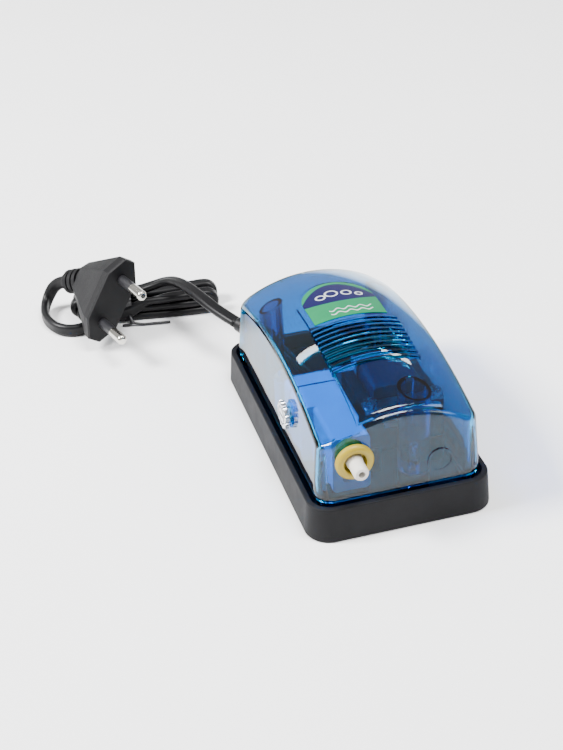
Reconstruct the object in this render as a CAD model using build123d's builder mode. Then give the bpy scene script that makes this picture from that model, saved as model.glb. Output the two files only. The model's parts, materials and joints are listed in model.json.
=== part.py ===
from build123d import *
import math
import os

os.makedirs("parts", exist_ok=True)

# Aquarium air pump: a rubber base boot, a tinted clear shell and a vibrating
# arm pump inside. Origin at the centre of the underside, front (air outlet)
# towards -Y, mains lead towards +Y, Z up. All sizes in millimetres.

# ---------------------------------------------------------------- base boot
base_w, base_l, base_h = 66.0, 114.7, 13.1
base_r = 8.6
base_taper = 4.03
base_floor = 3.0
cav_w, cav_l, cav_r = 60.6, 109.3, 6.6
pocket_w, pocket_l, pocket_r = 61.6, 110.3, 7.1
# ------------------------------------------------------------- bottom plate
plate_t = 2.5
plate_top = base_floor + plate_t
# -------------------------------------------------------------------- shell
shell_z0 = 13.8
shell_w, shell_l, shell_r = 58.6, 107.4, 6.0
shell_top = 58.0
draft, front_draft = 0.065, 0.04
back_lean = 0.12
wall = 1.8
crown_z = 50.8
crown_R = 170.0
crown_Rc = 47.1
crown_y0 = -1.9
lip_inset, lip_t = 1.2, 1.2
panel_hw, panel_y1, panel_proud = 14.8, 27.8, 1.1
label_hw, label_y0, label_y1, label_t = 13.2, -1.2, 26.4, 0.25
rib_n, rib_y0, rib_pitch, rib_t, rib_hw = 10, -4.4, 2.6, 1.0, 15.6
screw_xy = [(8.3, -41.3), (-20.0, 30.5), (20.0, 30.5)]
filter_xy = (11.0, 15.0)
# ---------------------------------------------------- pump chamber and arm
ch_x, ch_z = -16.6, 22.25
ch_w, ch_h = 16.4, 21.5
ch_y0, ch_y1, ch_step_y = -45.0, -12.0, -25.0
ch_front_w = 13.2
ch_front_x = ch_x + (ch_w - ch_front_w) / 2
gasket_t, vplate_t, clamp_t = 0.8, 3.2, 3.0
vp_y0 = ch_y1 + gasket_t
vp_y1 = vp_y0 + vplate_t
cl_y1 = vp_y1 + clamp_t
out_x, out_z = -16.6, 29.2
tip_y = -61.6
knob_y, knob_z = -17.1, 27.1
pivot_x, pivot_y = -23.4, 3.0
arm_y0, arm_y1 = 1.5, 5.0
core_x0, core_x1 = -4.5, 23.5
core_y0, core_y1 = -30.0, -3.0
core_z0, core_z1 = 15.5, 29.5
core_xc = (core_x0 + core_x1) / 2
core_zc = (core_z0 + core_z1) / 2
# ------------------------------------------------------- cord and its plug
cord_wide, cord_thick = 5.2, 3.2
relief_dir = Vector(-0.48, 0.87, 0.08).normalized()
relief_at = Vector(-21.86, 52.65, 18.06)
relief_out, relief_in = 8.8, 11.0
plug_face = Vector(-69.3, 91.8, 19.8)
plug_pin_dir = Vector(0.2454, -0.9666, 0.0769).normalized()
plug_row_dir = Vector(-0.529, -0.200, -0.830).normalized()
plug_row_dir = (plug_row_dir - plug_pin_dir * plug_row_dir.dot(plug_pin_dir)).normalized()
plug_len = 24.0
collar_dir = Vector(-0.60, 0.72, -0.30).normalized()
collar_len = 12.5

relief_end = relief_at + relief_dir * relief_out
relief_root = relief_at - relief_dir * relief_in
plug_back = plug_face - plug_pin_dir * plug_len
collar_end = plug_back + collar_dir * collar_len

# ============================================================ rubber base
with BuildPart() as rubber_base:
    with BuildSketch(Plane.XY):
        RectangleRounded(base_w, base_l, base_r)
    extrude(amount=base_h, taper=base_taper)
    fillet(rubber_base.faces().sort_by(Axis.Z)[0].edges(), radius=0.8)
    fillet(rubber_base.faces().sort_by(Axis.Z)[-1].edges(), radius=0.6)
    with BuildSketch(Plane.XY.offset(base_floor)):
        RectangleRounded(cav_w, cav_l, cav_r)
    extrude(amount=base_h, mode=Mode.SUBTRACT)
    with BuildSketch(Plane.XY.offset(base_floor)):
        RectangleRounded(pocket_w, pocket_l, pocket_r)
    extrude(amount=plate_t + 0.05, mode=Mode.SUBTRACT)
    # shallow recess underneath leaves a band and four round feet
    with BuildSketch(Plane.XY):
        RectangleRounded(54.0, 102.0, 6.0)
        with GridLocations(36.0, 84.0, 2, 2):
            Circle(8.0, mode=Mode.SUBTRACT)
    extrude(amount=0.8, mode=Mode.SUBTRACT)
    with BuildSketch(Plane.XY):
        with GridLocations(36.0, 84.0, 2, 2):
            Circle(5.0)
    extrude(amount=0.9, mode=Mode.SUBTRACT)
    # screw access holes and the air opening under the filter
    with BuildSketch(Plane.XY):
        with Locations(*screw_xy):
            Circle(4.2)
        with Locations(filter_xy):
            Circle(8.0)
    extrude(amount=base_floor + 0.2, mode=Mode.SUBTRACT)
rubber_base.part.label = "rubber_base"

# =========================================================== bottom plate
with BuildPart() as bottom_plate:
    with BuildSketch(Plane.XY.offset(base_floor)):
        RectangleRounded(pocket_w - 0.4, pocket_l - 0.4, pocket_r - 0.2)
    extrude(amount=plate_t)
    # locating ridge inside the shell lip
    with BuildSketch(Plane.XY.offset(plate_top)):
        RectangleRounded(53.2, 102.0, 3.4)
        RectangleRounded(51.0, 99.8, 2.3, mode=Mode.SUBTRACT)
    extrude(amount=2.5)
    # screw pads, pivot boss, core posts
    with BuildSketch(Plane.XY.offset(plate_top)):
        with Locations(screw_xy[0]):
            Circle(5.6)
    extrude(amount=12.9 - plate_top)
    with BuildSketch(Plane.XY.offset(plate_top)):
        with Locations(screw_xy[1], screw_xy[2]):
            Circle(4.6)
    extrude(amount=12.9 - plate_top)
    with BuildSketch(Plane.XY.offset(plate_top)):
        with Locations((pivot_x, pivot_y)):
            Circle(3.0)
    extrude(amount=16.6 - plate_top)
    with BuildSketch(Plane.XY.offset(plate_top)):
        with Locations((core_x0 + 2.4, core_y0 + 2.4), (core_x1 - 2.4, core_y0 + 2.4)):
            Circle(3.4)
        with Locations((core_x0 + 2.2, core_y1 - 4.0), (core_x1 - 2.2, core_y1 - 4.0)):
            Rectangle(4.0, 6.0)
    extrude(amount=core_z0 - plate_top)
    # cradle ribs with cheeks for the pump chamber
    with BuildSketch(Plane.XZ.offset(37.5)):
        with Locations((ch_front_x, plate_top + 3.0)):
            Rectangle(ch_front_w + 2.6, 6.0)
        with Locations(
            (ch_front_x - ch_front_w / 2 - 0.75, 10.5), (ch_front_x + ch_front_w / 2 + 0.75, 10.5)
        ):
            Rectangle(1.1, 10.0)
    extrude(amount=2.5)
    with BuildSketch(Plane.XZ.offset(21.0)):
        with Locations((ch_x, plate_top + 3.0)):
            Rectangle(ch_w + 2.6, 6.0)
        with Locations((ch_x - ch_w / 2 - 0.75, 10.5), (ch_x + ch_w / 2 + 0.75, 10.5)):
            Rectangle(1.1, 10.0)
    extrude(amount=2.5)
    # filter ring with a grille below it
    with BuildSketch(Plane.XY.offset(plate_top)):
        with Locations(filter_xy):
            Circle(9.3)
            Circle(8.1, mode=Mode.SUBTRACT)
    extrude(amount=4.0)
    with BuildSketch(Plane.XY.offset(base_floor)):
        with Locations(filter_xy):
            Circle(1.5)
            with PolarLocations(5.0, 6):
                Circle(1.5)
    extrude(amount=plate_t, mode=Mode.SUBTRACT)
    # wire guides behind the filter
    with BuildSketch(Plane.XY.offset(plate_top)):
        with Locations((-8.5, 22.8), (-2.5, 22.8), (-8.5, 27.0), (-2.5, 27.0)):
            Rectangle(1.2, 2.0)
    extrude(amount=6.0)
    # counterbored screw holes from below
    with BuildSketch(Plane.XY.offset(base_floor)):
        with Locations(*screw_xy):
            Circle(3.2)
    extrude(amount=6.0, mode=Mode.SUBTRACT)
    with BuildSketch(Plane.XY.offset(base_floor)):
        with Locations(*screw_xy):
            Circle(1.7)
    extrude(amount=12.0, mode=Mode.SUBTRACT)
    with BuildSketch(Plane.XY.offset(core_z0)):
        with Locations((core_x0 + 2.4, core_y0 + 2.4), (core_x1 - 2.4, core_y0 + 2.4)):
            Circle(1.25)
    extrude(amount=-8.5, mode=Mode.SUBTRACT)
    with BuildSketch(Plane.XY.offset(16.6)):
        with Locations((pivot_x, pivot_y)):
            Circle(1.25)
    extrude(amount=-9.6, mode=Mode.SUBTRACT)
bottom_plate.part.label = "bottom_plate"

# ================================================== tinted clear top shell
def taper_box(off):
    """Four drafted walls of the shell, drawn in by off on every side."""
    h = shell_top - shell_z0
    front_top = -shell_l / 2 + front_draft * h + off
    back_top = shell_l / 2 - back_lean * h - off * 1.01
    with BuildPart(mode=Mode.PRIVATE) as walls:
        with BuildSketch(Plane.XY.offset(shell_z0)):
            with Locations((0, -off * 0.005)):
                RectangleRounded(shell_w - 2 * off, shell_l - 2.01 * off, shell_r - off * 0.8)
        with BuildSketch(Plane.XY.offset(shell_top)):
            with Locations((0, (front_top + back_top) / 2)):
                RectangleRounded(
                    shell_w - 2 * draft * h - 2 * off,
                    back_top - front_top,
                    shell_r - 0.8 - off * 0.8,
                )
        loft(ruled=True)
    return walls.part


def crown_body(off):
    """Everything under the double-curved crown, raised by off."""
    zc = crown_z + off
    rc = crown_Rc + off
    axis_z = crown_z - crown_R
    ends = 33.0
    drop = rc - math.sqrt(rc * rc - ends * ends)
    with BuildPart(mode=Mode.PRIVATE) as under:
        with BuildSketch(Plane.XZ.offset(-crown_y0)):
            with BuildLine():
                ThreePointArc((-ends, zc - drop), (0, zc), (ends, zc - drop))
                Polyline(
                    (ends, zc - drop), (ends, -8.0), (-ends, -8.0), (-ends, zc - drop)
                )
            make_face()
        revolve(
            axis=Axis((0, crown_y0, axis_z), (1, 0, 0)),
            revolution_arc=54.0,
        )
    turned = under.part.rotate(Axis((0, crown_y0, axis_z), (1, 0, 0)), -27.0)
    return turned


outer_raw = taper_box(0.0) & crown_body(0.0)
inner_raw = taper_box(wall) & crown_body(-wall)


def loop_above(shape, z_min):
    """Edges between the crown face and the walls."""
    crown = shape.faces().sort_by(Axis.Z)[-1]
    return crown.edges()


with BuildPart() as outer_solid:
    add(outer_raw)
    fillet(loop_above(outer_solid.part, 30.0), radius=2.2)
with BuildPart() as inner_solid:
    add(inner_raw)
    fillet(loop_above(inner_solid.part, 30.0), radius=1.0)
outer_body = outer_solid.part
inner_body = inner_solid.part

with BuildPart() as panel_block:
    with BuildSketch(Plane.XY.offset(30.0)):
        with BuildLine():
            Line((-panel_hw, -51.6), (panel_hw, -51.6))
            Line((panel_hw, -51.6), (panel_hw + 0.3, 14.5))
            ThreePointArc((panel_hw + 0.3, 14.5), (0, panel_y1), (-panel_hw - 0.3, 14.5))
            Line((-panel_hw - 0.3, 14.5), (-panel_hw, -51.6))
        make_face()
    extrude(amount=30.0)
    add(crown_body(panel_proud), mode=Mode.INTERSECT)
    fillet(
        panel_block.edges().filter_by(
            lambda e: e.center().Z > 40 and abs(e.center().Y + 51.6) < 0.05
        ),
        radius=3.4,
    )
with BuildPart() as rib_block:
    with BuildSketch(Plane.XY.offset(30.0)):
        for i in range(rib_n):
            with Locations((0, rib_y0 - i * rib_pitch)):
                Rectangle(2 * rib_hw, rib_t)
    extrude(amount=30.0)
    add(crown_body(panel_proud + 0.65), mode=Mode.INTERSECT)

with BuildPart() as top_shell:
    add(outer_body)
    add(panel_block.part)
    add(rib_block.part)
    # blanked second outlet and the land round the live one
    with BuildSketch(Plane.XZ.offset(51.6)):
        with Locations((13.5, 22.6)):
            Circle(4.5)
            Circle(3.9, mode=Mode.SUBTRACT)
    extrude(amount=2.0)
    # lip that drops inside the boot
    with BuildSketch(Plane.XY.offset(plate_top)):
        RectangleRounded(shell_w - 2 * lip_inset, shell_l - 2 * lip_inset, shell_r - 1.0)
    extrude(amount=shell_z0 - plate_top)
    add(inner_body, mode=Mode.SUBTRACT)
    with BuildSketch(Plane.XY.offset(plate_top)):
        RectangleRounded(
            shell_w - 2 * (lip_inset + lip_t), shell_l - 2 * (lip_inset + lip_t), shell_r - 2.2
        )
    extrude(amount=shell_z0 - plate_top + 0.4, mode=Mode.SUBTRACT)
    # screw posts down from the crown
    with BuildPart(mode=Mode.PRIVATE) as posts:
        with BuildSketch(Plane.XY.offset(13.0)):
            with Locations(screw_xy[0]):
                Circle(5.6)
            with Locations(screw_xy[1], screw_xy[2]):
                Circle(4.2)
        extrude(amount=45.0)
        add(outer_body, mode=Mode.INTERSECT)
    add(posts.part)
    # the posts are cored out above their screws and slotted towards the inside
    with BuildPart(mode=Mode.PRIVATE) as cores:
        with BuildSketch(Plane.XY.offset(27.0)):
            with Locations(screw_xy[0]):
                Circle(4.4)
            with Locations(screw_xy[1], screw_xy[2]):
                Circle(3.0)
            with Locations((screw_xy[0][0], screw_xy[0][1] + 4.6)):
                Rectangle(2.6, 4.0)
            with Locations(
                (screw_xy[1][0], screw_xy[1][1] - 3.6), (screw_xy[2][0], screw_xy[2][1] - 3.6)
            ):
                Rectangle(2.0, 3.2)
        extrude(amount=30.0)
        # kept clear of the wall and crown faces, so that no two faces coincide
        add(taper_box(wall + 0.5) & crown_body(-wall - 0.5), mode=Mode.INTERSECT)
    add(cores.part, mode=Mode.SUBTRACT)
    with BuildSketch(Plane.XY.offset(12.9)):
        with Locations(*screw_xy):
            Circle(1.5)
    extrude(amount=12.6, mode=Mode.SUBTRACT)
    # stiffening ribs in the two front corners
    with BuildSketch(Plane.XY.offset(8.2)):
        with Locations((-25.6, -50.6), (25.6, -50.6)):
            Rectangle(1.4, 2.2)
    extrude(amount=23.6)
    # inner ribs low on the rear half of both side walls
    with BuildSketch(Plane.XY.offset(14.5)):
        for i in range(10):
            for s in (-1, 1):
                with Locations((s * 26.75, 14.0 + 3.2 * i)):
                    Rectangle(1.5, 0.7)
    extrude(amount=20.5)
    # openings: outlet, adjuster stem, strain relief, latch notch
    with BuildSketch(Plane.XZ.offset(56.0)):
        with Locations((out_x, out_z)):
            Circle(4.65)
    extrude(amount=-8.0, mode=Mode.SUBTRACT)
    with BuildSketch(Plane.YZ.offset(-32.0)):
        with Locations((knob_y, knob_z)):
            Circle(2.3)
    extrude(amount=6.0, mode=Mode.SUBTRACT)
    with BuildSketch(Plane(origin=relief_at - relief_dir * 5.0, z_dir=relief_dir)):
        Circle(3.7)
    extrude(amount=12.0, mode=Mode.SUBTRACT)
    with BuildSketch(Plane.YZ.offset(-31.0)):
        with Locations((34.5, 14.0)):
            Rectangle(6.5, 2.6)
    extrude(amount=2.4, mode=Mode.SUBTRACT)
top_shell.part.label = "top_shell"
assert len(top_shell.part.solids()) == 1, "the shell has come apart"
assert top_shell.part.volume > 15000, "the shell has lost its walls"

with BuildPart() as name_label:
    with BuildSketch(Plane.XY.offset(30.0)):
        with BuildLine():
            Line((-label_hw, label_y0), (label_hw, label_y0))
            Line((label_hw, label_y0), (label_hw, 14.0))
            ThreePointArc((label_hw, 14.0), (0, label_y1), (-label_hw, 14.0))
            Line((-label_hw, 14.0), (-label_hw, label_y0))
        make_face()
    extrude(amount=30.0)
    add(crown_body(panel_proud + label_t), mode=Mode.INTERSECT)
    add(crown_body(panel_proud), mode=Mode.SUBTRACT)
name_label.part.label = "name_label"

with BuildPart() as shell_screws:
    with BuildSketch(Plane.XY.offset(9.0)):
        with Locations(*screw_xy):
            Circle(1.45)
    extrude(amount=14.5)
    with BuildSketch(Plane.XY.offset(7.0)):
        with Locations(*screw_xy):
            Circle(2.8)
    extrude(amount=2.0)
    with BuildSketch(Plane.XY.offset(7.0)):
        with Locations(*screw_xy):
            Rectangle(3.4, 0.7)
            Rectangle(0.7, 3.4)
    extrude(amount=1.1, mode=Mode.SUBTRACT)
shell_screws.part.label = "shell_screws"

with BuildPart() as inlet_filter:
    with BuildSketch(Plane.XY.offset(plate_top)):
        with Locations(filter_xy):
            Circle(8.0)
    extrude(amount=3.2)
    chamfer(inlet_filter.faces().sort_by(Axis.Z)[-1].edges(), length=0.5)
inlet_filter.part.label = "inlet_filter"

# ============================================================ electromagnet
with BuildPart() as core_laminations:
    with BuildSketch(Plane.XY.offset(core_z0)):
        with Locations((core_xc, (core_y0 + core_y1) / 2)):
            Rectangle(core_x1 - core_x0, core_y1 - core_y0)
        with Locations((core_x0 + 7.25, core_y0 + 5.0 + 11.0), (core_x1 - 7.25, core_y0 + 5.0 + 11.0)):
            Rectangle(5.5, 22.0, mode=Mode.SUBTRACT)
        with Locations((core_x0 + 2.4, core_y0 + 2.4), (core_x1 - 2.4, core_y0 + 2.4)):
            Circle(1.4, mode=Mode.SUBTRACT)
    extrude(amount=core_z1 - core_z0)
core_laminations.part.label = "core_laminations"

bob_y0, bob_y1 = core_y0 + 5.1, core_y1 - 3.2
with BuildPart() as coil_bobbin:
    with BuildSketch(Plane.XZ.offset(-bob_y1)):
        with Locations((core_xc, core_zc)):
            Rectangle(9.8, 15.8)
    extrude(amount=bob_y1 - bob_y0)
    with BuildSketch(Plane.XZ.offset(-bob_y1)):
        with Locations((core_xc, core_zc)):
            RectangleRounded(18.8, 25.6, 1.2)
    extrude(amount=0.9)
    with BuildSketch(Plane.XZ.offset(-bob_y0 - 0.9)):
        with Locations((core_xc, core_zc)):
            RectangleRounded(18.8, 25.6, 1.2)
    extrude(amount=0.9)
    # terminal ledge under the front flange
    with BuildSketch(Plane.XY.offset(core_zc - 12.8)):
        with Locations((core_xc, bob_y1 + 1.2)):
            Rectangle(12.0, 2.6)
    extrude(amount=1.4)
    with BuildSketch(Plane.XZ.offset(-bob_y1 - 1.0)):
        with Locations((core_xc, core_zc)):
            Rectangle(8.2, 14.2)
    extrude(amount=bob_y1 - bob_y0 + 2.0, mode=Mode.SUBTRACT)
coil_bobbin.part.label = "coil_bobbin"

with BuildPart() as coil_winding:
    with BuildSketch(Plane.XZ.offset(-bob_y1 + 1.0)):
        with Locations((core_xc, core_zc)):
            RectangleRounded(18.0, 24.4, 2.4)
            Rectangle(10.0, 16.0, mode=Mode.SUBTRACT)
    extrude(amount=bob_y1 - bob_y0 - 2.0)
coil_winding.part.label = "coil_winding"

core_screw_xy = [(core_x0 + 2.4, core_y0 + 2.4), (core_x1 - 2.4, core_y0 + 2.4)]
with BuildPart() as core_bracket:
    with BuildSketch(Plane.XY.offset(core_z1)):
        with Locations((core_xc, core_y0 + 2.5)):
            Rectangle(core_x1 - core_x0, 5.0)
        with Locations(*core_screw_xy):
            Circle(1.45, mode=Mode.SUBTRACT)
    extrude(amount=1.0)
    with BuildSketch(Plane.XY.offset(core_z1 - 6.0)):
        with Locations((core_xc, core_y0 - 0.55)):
            Rectangle(16.0, 1.0)
    extrude(amount=7.0)
    with BuildSketch(Plane.XY.offset(core_z1)):
        with Locations((core_xc, core_y0 + 0.2)):
            Rectangle(16.0, 2.5)
    extrude(amount=1.0)
core_bracket.part.label = "core_bracket"

with BuildPart() as core_screws:
    with BuildSketch(Plane.XY.offset(core_z1 + 1.0)):
        with Locations(*core_screw_xy):
            Circle(1.2)
    extrude(amount=-23.0)
    with BuildSketch(Plane.XY.offset(core_z1 + 1.0)):
        with Locations(*core_screw_xy):
            Circle(2.4)
    extrude(amount=1.8)
    with BuildSketch(Plane.XY.offset(core_z1 + 2.0)):
        with Locations(*core_screw_xy):
            Rectangle(3.2, 0.6)
            Rectangle(0.6, 3.2)
    extrude(amount=1.0, mode=Mode.SUBTRACT)
core_screws.part.label = "core_screws"

# ======================================================= vibrating arm
with BuildPart() as swing_arm:
    with BuildSketch(Plane.XY.offset(17.0)):
        with Locations((pivot_x, pivot_y)):
            Circle(2.9)
    extrude(amount=11.0)
    with BuildSketch(Plane.XY.offset(18.2)):
        with Locations(((pivot_x + 4.0) / 2, (arm_y0 + arm_y1) / 2)):
            Rectangle(4.0 - pivot_x, arm_y1 - arm_y0)
    extrude(amount=8.6)
    # cup that carries the magnet
    with BuildSketch(Plane.XY.offset(core_zc - 7.2)):
        with Locations((core_xc, 3.0)):
            Rectangle(15.0, 5.0)
    extrude(amount=14.4)
    fillet(swing_arm.edges().filter_by(Axis.Z).group_by(Axis.X)[-1], radius=1.0)
    with BuildSketch(Plane.XY.offset(core_zc - 6.0)):
        with Locations((core_xc, 1.4)):
            Rectangle(12.0, 3.6)
    extrude(amount=12.0, mode=Mode.SUBTRACT)
    with BuildSketch(Plane.XY.offset(16.0)):
        with Locations((pivot_x, pivot_y)):
            Circle(2.1)
    extrude(amount=13.0, mode=Mode.SUBTRACT)
    with BuildSketch(Plane.XZ.offset(-6.0)):
        with Locations((ch_x, ch_z)):
            Circle(1.1)
    extrude(amount=8.0, mode=Mode.SUBTRACT)
swing_arm.part.label = "swing_arm"

with BuildPart() as arm_bushing:
    with BuildSketch(Plane.XY.offset(16.8)):
        with Locations((pivot_x, pivot_y)):
            Circle(2.1)
            Circle(1.3, mode=Mode.SUBTRACT)
    extrude(amount=11.4)
arm_bushing.part.label = "arm_bushing"

with BuildPart() as arm_magnet:
    with BuildSketch(Plane.XY.offset(core_zc - 6.0)):
        with Locations((core_xc, 1.2)):
            Rectangle(12.0, 3.9)
    extrude(amount=12.0)
    chamfer(arm_magnet.faces().sort_by(Axis.Y)[0].edges(), length=0.4)
arm_magnet.part.label = "arm_magnet"

with BuildPart() as arm_pivot_pin:
    with BuildSketch(Plane.XY.offset(7.2)):
        with Locations((pivot_x, pivot_y)):
            Circle(1.25)
    extrude(amount=24.4)
    chamfer(arm_pivot_pin.faces().sort_by(Axis.Z)[-1].edges(), length=0.3)
    with BuildSketch(Plane.XY.offset(29.0)):
        with Locations((pivot_x, pivot_y)):
            Circle(1.4)
            Circle(0.95, mode=Mode.SUBTRACT)
    extrude(amount=0.7, mode=Mode.SUBTRACT)
arm_pivot_pin.part.label = "arm_pivot_pin"

with BuildPart() as pivot_clip:
    with BuildSketch(Plane.XY.offset(29.05)):
        with Locations((pivot_x, pivot_y)):
            Circle(2.6)
            Circle(0.97, mode=Mode.SUBTRACT)
        with Locations((pivot_x + 2.0, pivot_y)):
            Rectangle(2.2, 1.3, mode=Mode.SUBTRACT)
    extrude(amount=0.6)
pivot_clip.part.label = "pivot_clip"

# ==================================================== pump chamber
cs_pts = [(ch_x + sx * 6.5, ch_z + sz * 9.0) for sx in (-1, 1) for sz in (-1, 1)]
with BuildPart() as chamber_body:
    with BuildSketch(Plane.XZ.offset(-ch_y1)):
        with Locations((ch_x, ch_z)):
            RectangleRounded(ch_w, ch_h, 1.6)
    extrude(amount=ch_y1 - ch_step_y)
    # narrower front half, cleared on its left
    with BuildSketch(Plane.XZ.offset(-ch_step_y)):
        with Locations((ch_front_x, ch_z)):
            RectangleRounded(ch_front_w, ch_h, 1.6)
    extrude(amount=ch_step_y - ch_y0)
    with BuildSketch(Plane.XZ.offset(-ch_y1)):
        with Locations((ch_x, ch_z + 5.1), (ch_x, ch_z - 5.1)):
            Rectangle(ch_w - 3.2, 8.6)
    extrude(amount=ch_y1 - ch_step_y - 1.5, mode=Mode.SUBTRACT)
    with BuildSketch(Plane.XZ.offset(-ch_y1)):
        with Locations((ch_front_x, ch_z + 5.1), (ch_front_x, ch_z - 5.1)):
            Rectangle(ch_front_w - 3.0, 8.6)
    extrude(amount=ch_y1 - ch_y0 - 2.5, mode=Mode.SUBTRACT)
    with BuildSketch(Plane.XZ.offset(-ch_y1)):
        with Locations(*cs_pts):
            Circle(1.7)
    extrude(amount=12.0)
    # outlet spigot socket
    with BuildSketch(Plane.XZ.offset(-ch_y0 - 0.5)):
        with Locations((out_x, out_z)):
            Circle(3.5)
    extrude(amount=2.3)
    with BuildSketch(Plane.XZ.offset(-ch_y0 - 3.0)):
        with Locations((out_x, out_z)):
            Circle(2.0)
    extrude(amount=6.0, mode=Mode.SUBTRACT)
    # air intake low on the front wall
    with BuildSketch(Plane.XZ.offset(-ch_y0 - 3.0)):
        with Locations((ch_x, 16.5)):
            Circle(1.6)
    extrude(amount=6.0, mode=Mode.SUBTRACT)
    # gland for the flow adjuster
    with BuildSketch(Plane.YZ.offset(-26.5)):
        with Locations((knob_y, knob_z)):
            Circle(3.7)
    extrude(amount=2.2)
    with BuildSketch(Plane.YZ.offset(-27.0)):
        with Locations((knob_y, knob_z)):
            Circle(2.6)
    extrude(amount=4.5, mode=Mode.SUBTRACT)
    with BuildSketch(Plane.XZ.offset(-ch_y1)):
        with Locations(*cs_pts):
            Circle(1.0)
    extrude(amount=10.5, mode=Mode.SUBTRACT)
chamber_body.part.label = "chamber_body"

with BuildPart() as chamber_gasket:
    with BuildSketch(Plane.XZ.offset(-vp_y0)):
        with Locations((ch_x, ch_z)):
            RectangleRounded(ch_w, ch_h, 1.6)
        with Locations((ch_x, ch_z + 4.6), (ch_x, ch_z - 4.6)):
            Rectangle(8.2, 7.6, mode=Mode.SUBTRACT)
        with Locations(*cs_pts):
            Circle(1.1, mode=Mode.SUBTRACT)
    extrude(amount=gasket_t)
chamber_gasket.part.label = "chamber_gasket"

v_in_z, v_out_z = ch_z - 3.0, ch_z + 3.0
with BuildPart() as valve_plate:
    with BuildSketch(Plane.XZ.offset(-vp_y1)):
        with Locations((ch_x, ch_z)):
            RectangleRounded(ch_w, ch_h, 1.6)
        with Locations(*cs_pts):
            Circle(1.1, mode=Mode.SUBTRACT)
        with Locations((ch_x, v_in_z), (ch_x, v_out_z)):
            Circle(0.65, mode=Mode.SUBTRACT)
            with PolarLocations(1.35, 4, start_angle=45):
                Circle(0.4, mode=Mode.SUBTRACT)
    extrude(amount=vplate_t)
valve_plate.part.label = "valve_plate"

with BuildPart() as intake_valve:
    with BuildSketch(Plane.XZ.offset(-vp_y1 - 0.6)):
        with Locations((ch_x, v_in_z)):
            Circle(2.1)
    extrude(amount=0.55)
    with BuildSketch(Plane.XZ.offset(-vp_y1 - 0.3)):
        with Locations((ch_x, v_in_z)):
            Circle(0.6)
    extrude(amount=4.5)
    with BuildSketch(Plane.XZ.offset(-vp_y0 + 0.05)):
        with Locations((ch_x, v_in_z)):
            Circle(0.85)
    extrude(amount=1.0)
intake_valve.part.label = "intake_valve"

with BuildPart() as outlet_valve:
    with BuildSketch(Plane.XZ.offset(-vp_y0 + 0.6)):
        with Locations((ch_x, v_out_z)):
            Circle(2.1)
    extrude(amount=-0.55)
    with BuildSketch(Plane.XZ.offset(-vp_y0 + 0.3)):
        with Locations((ch_x, v_out_z)):
            Circle(0.6)
    extrude(amount=-4.5)
    with BuildSketch(Plane.XZ.offset(-vp_y1 - 0.05)):
        with Locations((ch_x, v_out_z)):
            Circle(0.85)
    extrude(amount=-1.0)
outlet_valve.part.label = "outlet_valve"

with BuildPart() as clamp_ring:
    with BuildSketch(Plane.XZ.offset(-cl_y1)):
        with Locations((ch_x, ch_z)):
            RectangleRounded(ch_w, ch_h, 1.6)
            Circle(6.6, mode=Mode.SUBTRACT)
        with Locations(*cs_pts):
            Circle(1.1, mode=Mode.SUBTRACT)
    extrude(amount=clamp_t)
    with BuildSketch(Plane.XZ.offset(-(vp_y1 + 1.05))):
        with Locations((ch_x, ch_z)):
            Circle(7.65)
    extrude(amount=1.2, mode=Mode.SUBTRACT)
clamp_ring.part.label = "clamp_ring"

with BuildPart() as chamber_screws:
    with BuildSketch(Plane.XZ.offset(-cl_y1)):
        with Locations(*cs_pts):
            Circle(0.95)
    extrude(amount=16.0)
    with BuildSketch(Plane.XZ.offset(-cl_y1 - 1.5)):
        with Locations(*cs_pts):
            Circle(1.9)
    extrude(amount=1.5)
    with BuildSketch(Plane.XZ.offset(-cl_y1 - 1.5)):
        with Locations(*cs_pts):
            Rectangle(2.4, 0.5)
            Rectangle(0.5, 2.4)
    extrude(amount=0.8, mode=Mode.SUBTRACT)
chamber_screws.part.label = "chamber_screws"

dia_plane = Plane(origin=(ch_x, 0, ch_z), x_dir=(1, 0, 0), z_dir=(0, 0, 1))
dia_axis = Axis((ch_x, 0, ch_z), (0, 1, 0))
with BuildPart() as diaphragm:
    with BuildSketch(dia_plane):
        with BuildLine():
            Polyline(
                (1.1, arm_y0), (3.2, arm_y0), (3.2, -0.7), (4.9, -1.3), (5.3, -2.6),
                (5.1, -3.4), (5.9, -4.4), (6.1, -6.95), (7.6, -6.95), (7.6, -8.0),
                (5.3, -8.0), (5.1, -4.9), (4.2, -3.6), (4.3, -2.6), (4.0, -2.1),
                (1.1, -2.1), (1.1, arm_y0),
            )
        make_face()
    revolve(axis=dia_axis)
diaphragm.part.label = "diaphragm"

with BuildPart() as diaphragm_washer:
    with BuildSketch(Plane.XZ.offset(2.1)):
        with Locations((ch_x, ch_z)):
            Circle(3.2)
            Circle(1.0, mode=Mode.SUBTRACT)
    extrude(amount=0.8)
    fillet(diaphragm_washer.faces().sort_by(Axis.Y)[0].edges(), radius=0.2)
diaphragm_washer.part.label = "diaphragm_washer"

with BuildPart() as diaphragm_screw:
    with BuildSketch(Plane.XZ.offset(-arm_y1)):
        with Locations((ch_x, ch_z)):
            Circle(0.95)
    extrude(amount=8.4)
    with BuildSketch(Plane.XZ.offset(-arm_y1 - 1.5)):
        with Locations((ch_x, ch_z)):
            Circle(2.1)
    extrude(amount=1.5)
    with BuildSketch(Plane.XZ.offset(-arm_y1 - 1.5)):
        with Locations((ch_x, ch_z)):
            Rectangle(2.8, 0.5)
            Rectangle(0.5, 2.8)
    extrude(amount=0.8, mode=Mode.SUBTRACT)
diaphragm_screw.part.label = "diaphragm_screw"

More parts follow.
